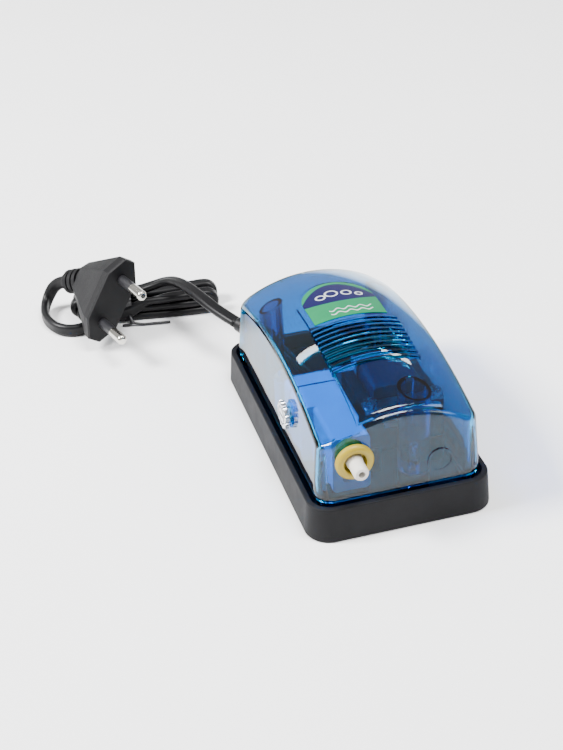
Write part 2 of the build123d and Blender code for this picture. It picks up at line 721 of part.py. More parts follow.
# ======================================================== air outlet
out_plane = Plane(origin=(out_x, 0, out_z), x_dir=(1, 0, 0), z_dir=(0, 0, 1))
out_axis = Axis((out_x, 0, out_z), (0, 1, 0))
with BuildPart() as outlet_grommet:
    with BuildSketch(out_plane):
        with BuildLine():
            Polyline(
                (2.95, -47.0), (4.6, -47.0), (5.2, -47.6), (5.2, -50.85), (4.6, -50.85),
                (4.6, -53.4), (6.6, -53.4), (6.6, -54.4),
            )
            ThreePointArc((6.6, -54.4), (5.9, -55.2), (4.6, -55.45))
            Polyline((4.6, -55.45), (4.0, -55.2), (4.0, -52.2), (2.95, -52.2), (2.95, -47.0))
        make_face()
    revolve(axis=out_axis)
outlet_grommet.part.label = "outlet_grommet"

with BuildPart() as outlet_nozzle:
    with BuildSketch(out_plane):
        with BuildLine():
            Polyline(
                (1.15, tip_y), (2.2, tip_y), (2.6, tip_y + 0.6), (2.6, -55.6), (2.85, -54.6),
                (2.9, -47.0), (1.95, -47.0), (1.95, -43.2), (1.15, -43.2), (1.15, tip_y),
            )
        make_face()
    revolve(axis=out_axis)
outlet_nozzle.part.label = "outlet_nozzle"

# ==================================================== flow adjuster
knob_x0 = -29.3
with BuildPart() as flow_knob:
    with BuildSketch(Plane.YZ.offset(knob_x0)):
        with Locations((knob_y, knob_z)):
            Circle(5.0)
            with PolarLocations(5.35, 12):
                Circle(0.95, mode=Mode.SUBTRACT)
    extrude(amount=-1.6)
    chamfer(flow_knob.faces().sort_by(Axis.X)[0].edges(), length=0.25)
    with BuildSketch(Plane.YZ.offset(knob_x0 - 1.6)):
        with Locations((knob_y, knob_z)):
            Circle(3.5)
            Circle(2.6, mode=Mode.SUBTRACT)
    extrude(amount=0.5, mode=Mode.SUBTRACT)
    with BuildSketch(Plane.YZ.offset(knob_x0 - 1.6)):
        with Locations((knob_y, knob_z)):
            Rectangle(4.0, 0.8)
    extrude(amount=0.9, mode=Mode.SUBTRACT)
flow_knob.part.label = "flow_knob"

stem_plane = Plane(origin=(0, knob_y, knob_z), x_dir=(1, 0, 0), z_dir=(0, -1, 0))
stem_axis = Axis((0, knob_y, knob_z), (1, 0, 0))
with BuildPart() as throttle_stem:
    with BuildSketch(stem_plane):
        with BuildLine():
            Polyline(
                (knob_x0, 0), (knob_x0, 1.9), (-25.7, 1.9), (-25.7, 1.4), (-24.4, 1.4),
                (-24.4, 1.9), (-20.2, 1.9), (-18.4, 0.6), (-18.0, 0.0), (knob_x0, 0),
            )
        make_face()
    revolve(axis=stem_axis)
throttle_stem.part.label = "throttle_stem"

with BuildPart() as stem_o_ring:
    with BuildSketch(stem_plane):
        with Locations((-25.05, 1.95)):
            Circle(0.5)
    revolve(axis=stem_axis)
stem_o_ring.part.label = "stem_o_ring"

# ================================================ mains lead, inside
relief_plane = Plane(
    origin=relief_at,
    x_dir=relief_dir,
    z_dir=Vector(0, 0, 1).cross(relief_dir).normalized(),
)
with BuildPart() as strain_relief:
    with BuildSketch(relief_plane):
        with BuildLine():
            Polyline(
                (-relief_in, 0), (-relief_in, 3.1), (-8.0, 3.3), (-8.0, 5.0), (-5.8, 5.0),
                (-5.8, 3.6), (1.2, 3.6), (1.8, 3.35), (relief_out - 0.5, 2.9),
                (relief_out, 2.6), (relief_out, 0), (-relief_in, 0),
            )
        make_face()
    revolve(axis=Axis(relief_at, relief_dir))
strain_relief.part.label = "strain_relief"

side = relief_dir.cross(Vector(0, 0, 1)).normalized()
splice_x = (-8.6, -3.4)
splice_y0, splice_y1, splice_z = 4.0, 15.0, 7.8
wire_r = 0.85
wire_starts = [relief_root - side * 1.3, relief_root + side * 1.3]
wire_routes = [
    [
        wire_starts[0],
        wire_starts[0] - relief_dir * 5.0,
        Vector(-6.6 if i == 0 else -4.4, 28.0, splice_z),
        Vector(-6.6 if i == 0 else -4.4, 21.0, splice_z),
        Vector(splice_x[i], splice_y1 + 2.2, splice_z),
        Vector(splice_x[i], splice_y1, splice_z),
    ]
    for i in (0, 1)
]
wire_routes[1][0] = wire_starts[1]
wire_routes[1][1] = wire_starts[1] - relief_dir * 4.0


def corner_radii(points):
    """Largest sensible bend at each corner of a route."""
    radii = []
    for a, b, c in zip(points, points[1:], points[2:]):
        u, v = (b - a), (c - b)
        half = math.radians(u.get_angle(v)) / 2
        radii.append(round(0.45 * min(u.length, v.length) / math.tan(half), 2))
    return radii


with BuildPart() as lead_wires:
    for pts in wire_routes:
        with BuildLine() as route:
            FilletPolyline(*pts, radius=corner_radii(pts))
        with BuildSketch(Plane(origin=route.line @ 0, z_dir=route.line % 0)):
            Circle(wire_r)
        sweep(path=route.line)
lead_wires.part.label = "lead_wires"

with BuildPart() as wire_splices:
    with BuildSketch(Plane.XZ.offset(-splice_y1)):
        with Locations((splice_x[0], splice_z), (splice_x[1], splice_z)):
            Circle(2.1)
    extrude(amount=splice_y1 - splice_y0)
    chamfer(wire_splices.edges().filter_by(GeomType.CIRCLE), length=0.5)
wire_splices.part.label = "wire_splices"

coil_routes = [
    [
        Vector(splice_x[i], splice_y0, splice_z),
        Vector(splice_x[i], splice_y0 - 3.0 - 2.2 * i, splice_z),
        Vector(splice_x[i] + 6.0, splice_y0 - 4.0 - 2.2 * (1 - i), splice_z + 0.6),
        Vector(core_xc - 3.0 + 6.0 * i, bob_y1 + 4.6, core_zc - 12.1),
        Vector(core_xc - 3.0 + 6.0 * i, bob_y1 + 2.5, core_zc - 12.1),
    ]
    for i in (0, 1)
]
coil_routes[0] = [
    Vector(splice_x[0], splice_y0, splice_z),
    Vector(splice_x[0], 0.2, splice_z),
    Vector(-3.0, -0.9, splice_z),
    Vector(3.4, -0.6, 9.6),
    Vector(6.3, -1.2, core_zc - 12.1),
    Vector(6.3, -3.7, core_zc - 12.1),
]
coil_routes[1] = [
    Vector(splice_x[1], splice_y0, splice_z),
    Vector(splice_x[1], 1.9, splice_z),
    Vector(2.0, 1.7, splice_z),
    Vector(9.5, 1.6, 9.2),
    Vector(12.7, 0.2, core_zc - 12.1),
    Vector(12.7, -3.7, core_zc - 12.1),
]
with BuildPart() as coil_leads:
    for pts in coil_routes:
        with BuildLine() as route:
            FilletPolyline(*pts, radius=corner_radii(pts))
        with BuildSketch(Plane(origin=route.line @ 0, z_dir=route.line % 0)):
            Circle(0.6)
        sweep(path=route.line)
coil_leads.part.label = "coil_leads"

# =============================================== mains lead, outside
lead_points = [
    relief_end,
    relief_end + relief_dir * 11.0,
    Vector(-36.4, 84.0, 20.6),
    Vector(-39.6, 97.6, 19.2),
    Vector(-43.6, 108.0, 16.0),
    Vector(-50.4, 113.6, 10.2),
]
tail_points = [
    collar_end,
    collar_end + collar_dir * 6.5,
    Vector(-91.6, 129.4, 3.6),
    Vector(-94.4, 119.0, 2.62),
    Vector(-91.4, 107.8, 2.62),
    Vector(-84.6, 103.1, 2.62),
    Vector(-77.0, 105.4, 2.62),
    Vector(-68.0, 109.4, 2.62),
]


def flat_tube(points, wide_dir):
    """Flat two-core cord along a filleted route, wide side towards wide_dir."""
    radii = corner_radii(points)
    with BuildPart(mode=Mode.PRIVATE) as tube:
        with BuildLine() as route:
            FilletPolyline(*points, radius=radii)
        start_dir = route.line % 0
        x_dir = (wide_dir - start_dir * wide_dir.dot(start_dir)).normalized()
        with BuildSketch(Plane(origin=route.line @ 0, x_dir=x_dir, z_dir=start_dir)):
            SlotOverall(cord_wide, cord_thick)
        sweep(path=route.line)
    run = sum(e.length for e in route.edges())
    section = (cord_wide - cord_thick) * cord_thick + math.pi * cord_thick**2 / 4
    print("cord run", round(run, 1), "radii", radii,
          "volume ratio", round(tube.part.volume / (run * section), 4))
    return tube.part


with BuildPart() as cord_lead:
    add(flat_tube(lead_points, Vector(1, 0.3, 0)))
cord_lead.part.label = "cord_lead"

with BuildPart() as cord_tail:
    add(flat_tube(tail_points, Vector(0, 0, 1)))
cord_tail.part.label = "cord_tail"

hank_plane = Plane(origin=(-53.0, 114.0, 0), x_dir=(0.983, -0.183, 0), z_dir=(0, 0, 1))
with BuildPart() as cord_hank:
    with BuildSketch(hank_plane):
        with Locations((8.0, 0)):
            RectangleRounded(44.0, 16.2, 7.6)
    extrude(amount=10.4)
    with BuildSketch(hank_plane):
        with Locations((-17.0, 0)):
            RectangleRounded(28.0, 16.2, 7.6)
    extrude(amount=6.8)
    fillet(cord_hank.faces().sort_by(Axis.Z)[-1].edges(), radius=1.6)
cord_hank.part.label = "cord_hank"

tie_u = -8.4
with BuildPart() as twist_tie:
    with BuildSketch(Plane(origin=hank_plane.from_local_coords((tie_u, 0, 0)),
                           x_dir=hank_plane.y_dir, z_dir=hank_plane.x_dir)):
        with Locations((0, 5.5)):
            RectangleRounded(17.3, 11.0, 1.9)
            RectangleRounded(16.4, 10.1, 1.5, mode=Mode.SUBTRACT)
    extrude(amount=3.2)
    for pts, r in (
        ([Vector(-61.2, 106.9, 3.4), Vector(-60.8, 104.9, 3.0), Vector(-60.2, 103.2, 1.2)], 0.9),
        ([Vector(-60.4, 103.5, 1.5), Vector(-57.0, 102.3, 0.75), Vector(-45.3, 100.3, 0.75)], 0.55),
        ([Vector(-60.4, 103.6, 1.5), Vector(-61.8, 103.5, 0.75), Vector(-64.5, 104.0, 0.75)], 0.55),
    ):
        with BuildLine() as route:
            FilletPolyline(*pts, radius=corner_radii(pts))
        with BuildSketch(Plane(origin=route.line @ 0, z_dir=route.line % 0)):
            Circle(r)
        sweep(path=route.line)
twist_tie.part.label = "twist_tie"

# ============================================================== plug
plug_plane = Plane(origin=plug_face, x_dir=plug_row_dir, z_dir=plug_pin_dir)


def plug_section(hw, flat, ht, shoulder):
    """Eight-sided plug outline: hw half width, ht half thickness."""
    return [
        (hw, -flat), (hw, flat), (shoulder, ht), (-shoulder, ht),
        (-hw, flat), (-hw, -flat), (-shoulder, -ht), (shoulder, -ht),
    ]


with BuildPart() as plug_body:
    with BuildSketch(plug_plane):
        Polygon(*plug_section(17.2, 2.3, 6.6, 9.8), align=None)
    with BuildSketch(plug_plane.offset(-1.0)):
        Polygon(*plug_section(17.6, 2.6, 6.9, 10.0), align=None)
    with BuildSketch(plug_plane.offset(-4.5)):
        Polygon(*plug_section(17.4, 2.6, 6.9, 9.8), align=None)
    with BuildSketch(plug_plane.offset(-plug_len)):
        Polygon(*plug_section(7.4, 3.0, 5.5, 4.4), align=None)
    loft(ruled=True)
    with BuildSketch(Plane(origin=plug_back, x_dir=collar_dir,
                           z_dir=Vector(0, 0, 1).cross(collar_dir).normalized())):
        with BuildLine():
            Polyline(
                (-4.0, 0), (-4.0, 4.6), (-1.5, 5.3), (1.5, 5.3), (1.5, 4.3), (2.6, 4.3),
                (2.6, 5.5), (4.3, 5.5), (4.3, 4.2), (5.4, 4.2), (5.4, 5.3), (7.1, 5.3),
                (7.1, 4.1), (8.2, 4.1), (8.2, 5.0), (9.9, 5.0), (9.9, 3.9),
                (collar_len, 3.4), (collar_len, 0), (-4.0, 0),
            )
        make_face()
    revolve(axis=Axis(plug_back, collar_dir))
    with BuildSketch(plug_plane.offset(0.5)):
        with Locations((9.5, 0), (-9.5, 0)):
            Circle(2.0)
    extrude(amount=-6.5, mode=Mode.SUBTRACT)
plug_body.part.label = "plug_body"

with BuildPart() as plug_pins:
    with BuildSketch(plug_plane.offset(-6.0)):
        with Locations((9.5, 0), (-9.5, 0)):
            Circle(1.5)
    extrude(amount=16.5)
    with BuildSketch(plug_plane.offset(10.0)):
        with Locations((9.5, 0), (-9.5, 0)):
            Circle(2.0)
    extrude(amount=9.0)
    tips = plug_pins.faces().sort_by(Axis(plug_face, plug_pin_dir))[-2:]
    fillet(tips.edges(), radius=1.3)
plug_pins.part.label = "plug_pins"

with BuildPart() as pin_sleeves:
    with BuildSketch(plug_plane.offset(-6.0)):
        with Locations((9.5, 0), (-9.5, 0)):
            Circle(1.98)
            Circle(1.5, mode=Mode.SUBTRACT)
    extrude(amount=16.0)
pin_sleeves.part.label = "pin_sleeves"

# ============================================================= export
export_step(rubber_base.part, "parts/rubber_base.step")
export_step(bottom_plate.part, "parts/bottom_plate.step")
export_step(top_shell.part, "parts/top_shell.step")
export_step(name_label.part, "parts/name_label.step")
export_step(shell_screws.part, "parts/shell_screws.step")
export_step(inlet_filter.part, "parts/inlet_filter.step")
export_step(core_laminations.part, "parts/core_laminations.step")
export_step(coil_bobbin.part, "parts/coil_bobbin.step")
export_step(coil_winding.part, "parts/coil_winding.step")
export_step(core_bracket.part, "parts/core_bracket.step")
export_step(core_screws.part, "parts/core_screws.step")
export_step(swing_arm.part, "parts/swing_arm.step")
export_step(arm_bushing.part, "parts/arm_bushing.step")
export_step(arm_magnet.part, "parts/arm_magnet.step")
export_step(arm_pivot_pin.part, "parts/arm_pivot_pin.step")
export_step(pivot_clip.part, "parts/pivot_clip.step")
export_step(chamber_body.part, "parts/chamber_body.step")
export_step(chamber_gasket.part, "parts/chamber_gasket.step")
export_step(valve_plate.part, "parts/valve_plate.step")
export_step(intake_valve.part, "parts/intake_valve.step")
export_step(outlet_valve.part, "parts/outlet_valve.step")
export_step(clamp_ring.part, "parts/clamp_ring.step")
export_step(chamber_screws.part, "parts/chamber_screws.step")
export_step(diaphragm.part, "parts/diaphragm.step")
export_step(diaphragm_washer.part, "parts/diaphragm_washer.step")
export_step(diaphragm_screw.part, "parts/diaphragm_screw.step")
export_step(outlet_grommet.part, "parts/outlet_grommet.step")
export_step(outlet_nozzle.part, "parts/outlet_nozzle.step")
export_step(flow_knob.part, "parts/flow_knob.step")
export_step(throttle_stem.part, "parts/throttle_stem.step")
export_step(stem_o_ring.part, "parts/stem_o_ring.step")
export_step(strain_relief.part, "parts/strain_relief.step")
export_step(lead_wires.part, "parts/lead_wires.step")
export_step(wire_splices.part, "parts/wire_splices.step")
export_step(coil_leads.part, "parts/coil_leads.step")
export_step(cord_lead.part, "parts/cord_lead.step")
export_step(cord_hank.part, "parts/cord_hank.step")
export_step(cord_tail.part, "parts/cord_tail.step")
export_step(twist_tie.part, "parts/twist_tie.step")
export_step(plug_body.part, "parts/plug_body.step")
export_step(plug_pins.part, "parts/plug_pins.step")
export_step(pin_sleeves.part, "parts/pin_sleeves.step")
for piece in (rubber_base, top_shell, outlet_nozzle, strain_relief, plug_body):
    bb = piece.part.bounding_box()
    print(piece.part.label, [round(v, 2) for v in (*bb.min, *bb.max)], len(piece.part.solids()))
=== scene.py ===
import json
import math

import bmesh
import bpy
import numpy as np
from mathutils import Matrix, Vector


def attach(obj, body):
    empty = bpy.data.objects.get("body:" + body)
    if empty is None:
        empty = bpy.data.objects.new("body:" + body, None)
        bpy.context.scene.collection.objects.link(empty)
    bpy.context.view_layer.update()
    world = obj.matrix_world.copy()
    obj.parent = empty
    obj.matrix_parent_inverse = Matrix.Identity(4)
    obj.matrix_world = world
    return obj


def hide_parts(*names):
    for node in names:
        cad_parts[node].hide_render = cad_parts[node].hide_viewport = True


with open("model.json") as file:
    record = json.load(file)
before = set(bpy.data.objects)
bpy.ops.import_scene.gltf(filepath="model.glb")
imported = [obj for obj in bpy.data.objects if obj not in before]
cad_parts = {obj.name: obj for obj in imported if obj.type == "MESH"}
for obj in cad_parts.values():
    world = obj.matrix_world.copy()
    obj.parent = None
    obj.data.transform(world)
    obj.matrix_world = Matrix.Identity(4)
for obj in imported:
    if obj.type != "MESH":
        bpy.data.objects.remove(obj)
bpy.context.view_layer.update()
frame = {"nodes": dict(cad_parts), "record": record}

scene = bpy.context.scene
MM = 0.001


# ------------------------------------------------------------------ camera
def make_camera():
    az, el, roll = math.radians(-14.77), math.radians(32.93), math.radians(-2.57)
    back = Vector((math.sin(az) * math.cos(el), -math.cos(az) * math.cos(el), math.sin(el)))
    fwd = -back
    right = fwd.cross(Vector((0, 0, 1))).normalized()
    up = right.cross(fwd).normalized()
    r2 = right * math.cos(roll) + up * math.sin(roll)
    u2 = -right * math.sin(roll) + up * math.cos(roll)
    place = (back * 584.9 + r2 * -25.84 + u2 * 22.06) * MM
    cam = bpy.data.objects.new("camera", bpy.data.cameras.new("camera"))
    cam.data.lens = 76.8
    cam.data.sensor_width = 36.0
    cam.data.sensor_fit = "AUTO"
    cam.data.clip_start = 0.01
    cam.data.clip_end = 20.0
    m = Matrix((r2, u2, back)).transposed().to_4x4()
    m.translation = place
    cam.matrix_world = m
    scene.collection.objects.link(cam)
    scene.camera = cam
    return cam


make_camera()


# --------------------------------------------------------------- materials
class Mat:
    """A small helper that builds one node material."""

    def __init__(self, name):
        self.m = bpy.data.materials.new(name)
        self.m.use_nodes = True
        self.nt = self.m.node_tree
        self.nt.nodes.clear()
        self.out = self.nt.nodes.new("ShaderNodeOutputMaterial")
        self.p = self.nt.nodes.new("ShaderNodeBsdfPrincipled")
        self.nt.links.new(self.p.outputs[0], self.out.inputs["Surface"])
        self.tc = self.nt.nodes.new("ShaderNodeTexCoord")

    def node(self, kind, **values):
        n = self.nt.nodes.new(kind)
        for k, v in values.items():
            if k in n.inputs:
                n.inputs[k].default_value = v
            else:
                setattr(n, k, v)
        return n

    def link(self, a, b):
        self.nt.links.new(a, b)

    def set(self, **values):
        for k, v in values.items():
            self.p.inputs[k.replace("_", " ")].default_value = v
        return self

    def noise(self, scale, detail=4.0, rough=0.55, coord="Object", stretch=None):
        t = self.node("ShaderNodeTexNoise", Scale=scale, Detail=detail, Roughness=rough)
        src = self.tc.outputs[coord]
        if stretch:
            mp = self.node("ShaderNodeMapping")
            mp.inputs["Scale"].default_value = stretch
            self.link(src, mp.inputs["Vector"])
            src = mp.outputs[0]
        self.link(src, t.inputs["Vector"])
        return t

    def math(self, op, a, b=None, c=None, clamp=False):
        n = self.node("ShaderNodeMath", operation=op, use_clamp=clamp)
        for i, v in enumerate((a, b, c)):
            if v is None:
                continue
            if isinstance(v, (int, float)):
                n.inputs[i].default_value = v
            else:
                self.link(v, n.inputs[i])
        return n.outputs[0]

    def ramp(self, fac, stops):
        n = self.node("ShaderNodeValToRGB")
        els = n.color_ramp.elements
        while len(els) < len(stops):
            els.new(0.5)
        for e, (pos, col) in zip(els, stops):
            e.position = pos
            e.color = (*col, 1.0)
        self.link(fac, n.inputs[0])
        return n.outputs[0]

    def mix(self, fac, a, b):
        n = self.node("ShaderNodeMix", data_type="RGBA")
        if isinstance(fac, (int, float)):
            n.inputs[0].default_value = fac
        else:
            self.link(fac, n.inputs[0])
        for i, v in ((6, a), (7, b)):
            if isinstance(v, tuple):
                n.inputs[i].default_value = (*v, 1.0)
            else:
                self.link(v, n.inputs[i])
        return n.outputs[2]

    def bump(self, height, strength, distance):
        n = self.node("ShaderNodeBump")
        n.inputs["Strength"].default_value = strength
        n.inputs["Distance"].default_value = distance
        self.link(height, n.inputs["Height"])
        prev = self.p.inputs["Normal"]
        if prev.is_linked:
            self.link(prev.links[0].from_socket, n.inputs["Normal"])
        self.link(n.outputs[0], prev)


def lin(h):
    v = [int(h[i : i + 2], 16) / 255 for i in (1, 3, 5)]
    return tuple(x / 12.92 if x <= 0.04045 else ((x + 0.055) / 1.055) ** 2.4 for x in v)


def shade(c, k):
    return tuple(min(1.0, x * k) for x in c)


def moulded(name, colour, rough, grain=900.0, depth=0.00006, mottle=0.16, spec=0.5,
            coat=0.0, wave=0.10):
    """Moulded plastic or rubber: slight mottle, fine grain, uneven gloss."""
    k = Mat(name)
    c = lin(colour)
    big = k.noise(60.0, 3.0)
    k.link(
        k.ramp(big.outputs["Fac"], [(0.3, shade(c, 1 - mottle)), (0.7, shade(c, 1 + mottle))]),
        k.p.inputs["Base Color"],
    )
    fine = k.noise(grain, 3.0, 0.6)
    worn = k.noise(140.0, 4.0, 0.6)
    r = k.node("ShaderNodeMapRange")
    r.inputs["To Min"].default_value = max(0.02, rough - wave)
    r.inputs["To Max"].default_value = min(1.0, rough + wave)
    k.link(worn.outputs["Fac"], r.inputs["Value"])
    k.link(r.outputs[0], k.p.inputs["Roughness"])
    k.bump(fine.outputs["Fac"], 0.5, depth)
    k.p.inputs["Specular IOR Level"].default_value = spec
    if coat:
        k.p.inputs["Coat Weight"].default_value = coat
        k.p.inputs["Coat Roughness"].default_value = 0.15
    return k


def metal(name, colour, rough, scratch=700.0, depth=0.00002, stretch=None, dark=0.75):
    k = Mat(name)
    c = lin(colour)
    n = k.noise(120.0, 4.0)
    k.link(k.ramp(n.outputs["Fac"], [(0.35, shade(c, dark)), (0.6, c)]), k.p.inputs["Base Color"])
    s = k.noise(scratch, 3.0, 0.6, stretch=stretch)
    r = k.node("ShaderNodeMapRange")
    r.inputs["To Min"].default_value = max(0.03, rough - 0.08)
    r.inputs["To Max"].default_value = rough + 0.12
    k.link(s.outputs["Fac"], r.inputs["Value"])
    k.link(r.outputs[0], k.p.inputs["Roughness"])
    k.bump(s.outputs["Fac"], 0.35, depth)
    k.set(Metallic=1.0)
    return k


def clear_blue():
    """Tinted clear polystyrene; lamps reach the parts inside through it."""
    k = Mat("clear_blue")
    tint = (0.0, 0.28, 0.55)
    flow = k.noise(38.0, 3.0, 0.5, stretch=(1.0, 0.35, 1.0))
    k.link(
        k.ramp(flow.outputs["Fac"], [(0.35, shade(tint, 0.94)), (0.68, tint)]),
        k.p.inputs["Base Color"],
    )
    k.set(Transmission_Weight=1.0, IOR=1.42, Roughness=0.02)
    k.p.inputs["Specular IOR Level"].default_value = 0.18
    ripple = k.noise(55.0, 2.0, 0.4)
    k.bump(ripple.outputs["Fac"], 0.25, 0.0004)
    clear = k.node("ShaderNodeBsdfTransparent")
    clear.inputs["Color"].default_value = (0.01, 0.40, 0.70, 1.0)
    lp = k.node("ShaderNodeLightPath")
    mixer = k.node("ShaderNodeMixShader")
    k.link(lp.outputs["Is Shadow Ray"], mixer.inputs[0])
    k.link(k.p.outputs[0], mixer.inputs[1])
    k.link(clear.outputs[0], mixer.inputs[2])
    k.link(mixer.outputs[0], k.out.inputs["Surface"])
    return k


def label_print():
    """Arched film label: green ground, navy band, a row of bubbles and a wave."""
    k = Mat("label_print")
    sep = k.node("ShaderNodeSeparateXYZ")
    k.link(k.tc.outputs["Object"], sep.inputs[0])
    x, y = sep.outputs[0], sep.outputs[1]
    green, navy, white = (0.0, 0.15, 0.055), (0.0, 0.0, 0.045), (0.42, 0.45, 0.47)
    # lower edge of the band bows a little, its upper edge follows the arch
    x2 = k.math("MULTIPLY", x, x)
    low = k.math("ADD", k.math("MULTIPLY", x2, 9.0), 0.0098)
    above_low = k.math("GREATER_THAN", y, low)
    high = k.math("SUBTRACT", 0.0246, k.math("MULTIPLY", x2, 60.0))
    below_high = k.math("LESS_THAN", y, high)
    band = k.math("MULTIPLY", above_low, below_high)
    col = k.mix(band, green, navy)

    def ring(cx, cy, r, t):
        dx, dy = k.math("SUBTRACT", x, cx), k.math("SUBTRACT", y, cy)
        d = k.math("SQRT", k.math("ADD", k.math("MULTIPLY", dx, dx), k.math("MULTIPLY", dy, dy)))
        return k.math("LESS_THAN", k.math("ABSOLUTE", k.math("SUBTRACT", d, r)), t)

    marks = ring(-0.0062, 0.0152, 0.0016, 0.00035)
    for cx, cy, r in ((-0.0018, 0.0166, 0.0022), (0.0036, 0.0158, 0.0017), (0.0078, 0.0142, 0.0012)):
        marks = k.math("MAXIMUM", marks, ring(cx, cy, r, 0.00035))
    # two thin waves on the green ground
    for base, amp in ((0.0042, 0.0007), (0.0018, 0.0006)):
        wave = k.math("ADD", k.math("MULTIPLY", k.math("SINE", k.math("MULTIPLY", x, 1500.0)), amp), base)
        line = k.math("LESS_THAN", k.math("ABSOLUTE", k.math("SUBTRACT", y, wave)), 0.00030)
        inside = k.math("LESS_THAN", k.math("ABSOLUTE", k.math("SUBTRACT", x, 0.0015)), 0.0078)
        marks = k.math("MAXIMUM", marks, k.math("MULTIPLY", line, inside))
    col = k.mix(marks, col, white)
    speck = k.noise(260.0, 3.0)
    dim = k.ramp(speck.outputs["Fac"], [(0.3, (0.92, 0.92, 0.92)), (0.7, (1, 1, 1))])
    mul = k.node("ShaderNodeMix", data_type="RGBA", blend_type="MULTIPLY")
    mul.inputs[0].default_value = 1.0
    k.link(col, mul.inputs[6])
    k.link(dim, mul.inputs[7])
    k.link(mul.outputs[2], k.p.inputs["Base Color"])
    k.set(Roughness=0.22)
    k.bump(speck.outputs["Fac"], 0.2, 0.00003)
    return k


def laminated():
    k = metal("core_steel", "#5b5e64", 0.42)
    sep = k.node("ShaderNodeSeparateXYZ")
    k.link(k.tc.outputs["Object"], sep.inputs[0])
    saw = k.math("FRACT", k.math("MULTIPLY", sep.outputs[2], 2000.0))
    k.bump(saw, 0.7, 0.00012)
    return k


def taped():
    k = moulded("coil_tape", "#131c36", 0.38, spec=0.45)
    sep = k.node("ShaderNodeSeparateXYZ")
    k.link(k.tc.outputs["Object"], sep.inputs[0])
    turns = k.math("SINE", k.math("MULTIPLY", sep.outputs[1], 9000.0))
    k.bump(turns, 0.5, 0.00010)
    return k


def felt():
    k = Mat("felt")
    n = k.noise(1500.0, 5.0, 0.7)
    c = lin("#d8d4c8")
    k.link(k.ramp(n.outputs["Fac"], [(0.3, shade(c, 0.7)), (0.7, c)]), k.p.inputs["Base Color"])
    k.set(Roughness=0.95)
    k.p.inputs["Sheen Weight"].default_value = 0.4
    k.bump(n.outputs["Fac"], 0.9, 0.0004)
    return k


MATS = {
    "boot_rubber": moulded("boot_rubber", "#141416", 0.56, grain=1500.0, depth=0.00008, mottle=0.10, spec=0.12),
    "dark_plastic": moulded("dark_plastic", "#0e0f14", 0.46, spec=0.25),
    "clear_blue": clear_blue(),
    "label_print": label_print(),
    "zinc_screws": metal("zinc_screws", "#c6c9ce", 0.25),
    "felt": felt(),
    "core_steel": laminated(),
    "bobbin_plastic": moulded("bobbin_plastic", "#232a36", 0.40),
    "coil_tape": taped(),
    "zinc_steel": metal("zinc_steel", "#b4b8be", 0.30),
    "arm_plastic": moulded("arm_plastic", "#9fb4bb", 0.38),
    "soft_rubber": moulded("soft_rubber", "#202125", 0.62),
    "magnet": moulded("magnet", "#484b51", 0.55, grain=2200.0, depth=0.00012),
    "pale_plastic": moulded("pale_plastic", "#7fd0dc", 0.36, mottle=0.05),
    "yellow_rubber": moulded("yellow_rubber", "#96800a", 0.42, mottle=0.06, spec=0.45, grain=1400.0),
    "white_plastic": moulded("white_plastic", "#c9c5be", 0.34, mottle=0.03, grain=1600.0),
    "chrome_knob": metal("chrome_knob", "#d9dbde", 0.12, dark=0.9),
    "cord_pvc": moulded("cord_pvc", "#08080a", 0.42, grain=1800.0, depth=0.00005, spec=0.22),
    "wire_sheath": moulded("wire_sheath", "#5a3826", 0.35),
    "splice_nylon": moulded("splice_nylon", "#e8e4d8", 0.35, mottle=0.05),
    "tie_pvc": moulded("tie_pvc", "#131417", 0.38),
    "plug_plastic": moulded("plug_plastic", "#0a0a0c", 0.50, grain=2200.0, depth=0.00010, spec=0.18),
    "pin_nickel": metal("pin_nickel", "#cfccc4", 0.16, stretch=(1, 1, 0.2), dark=0.85),
    "sleeve_plastic": moulded("sleeve_plastic", "#18181b", 0.40),
}

slot_of = {s["node"]: s["material_slot"] for s in frame["record"]["subparts"]}
for name, obj in frame["nodes"].items():
    key = slot_of[name]
    mats = obj.data.materials
    if len(mats) == 0:
        mats.append(MATS[key].m)
    for i in range(len(mats)):
        mats[i] = MATS[key].m


# -------------------------------------------------------------------- cord
WIDE, THICK = 5.2 * MM, 3.2 * MM
U = Vector((0.983, -0.183, 0.0)).normalized()
V = Vector((0.183, 0.983, 0.0)).normalized()
HUB = Vector((-53.0, 114.0, 0.0))


def hank(u, v, z):
    """A point of the folded part, from its own length, breadth and height."""
    p = HUB + U * u + V * v
    return (p.x * MM, p.y * MM, z * MM)


relief_dir = Vector((-0.48, 0.87, 0.08)).normalized()
relief_end = Vector((-21.5, 52.0, 18.0)) + relief_dir * 9.55
collar_dir = Vector((-0.60, 0.72, -0.30)).normalized()
pin_dir = Vector((0.2454, -0.9666, 0.0769)).normalized()
plug_back = Vector((-69.3, 91.8, 19.8)) - pin_dir * 24.0
collar_end = plug_back + collar_dir * 12.5


def mm(*p):
    return tuple(c * MM for c in p)


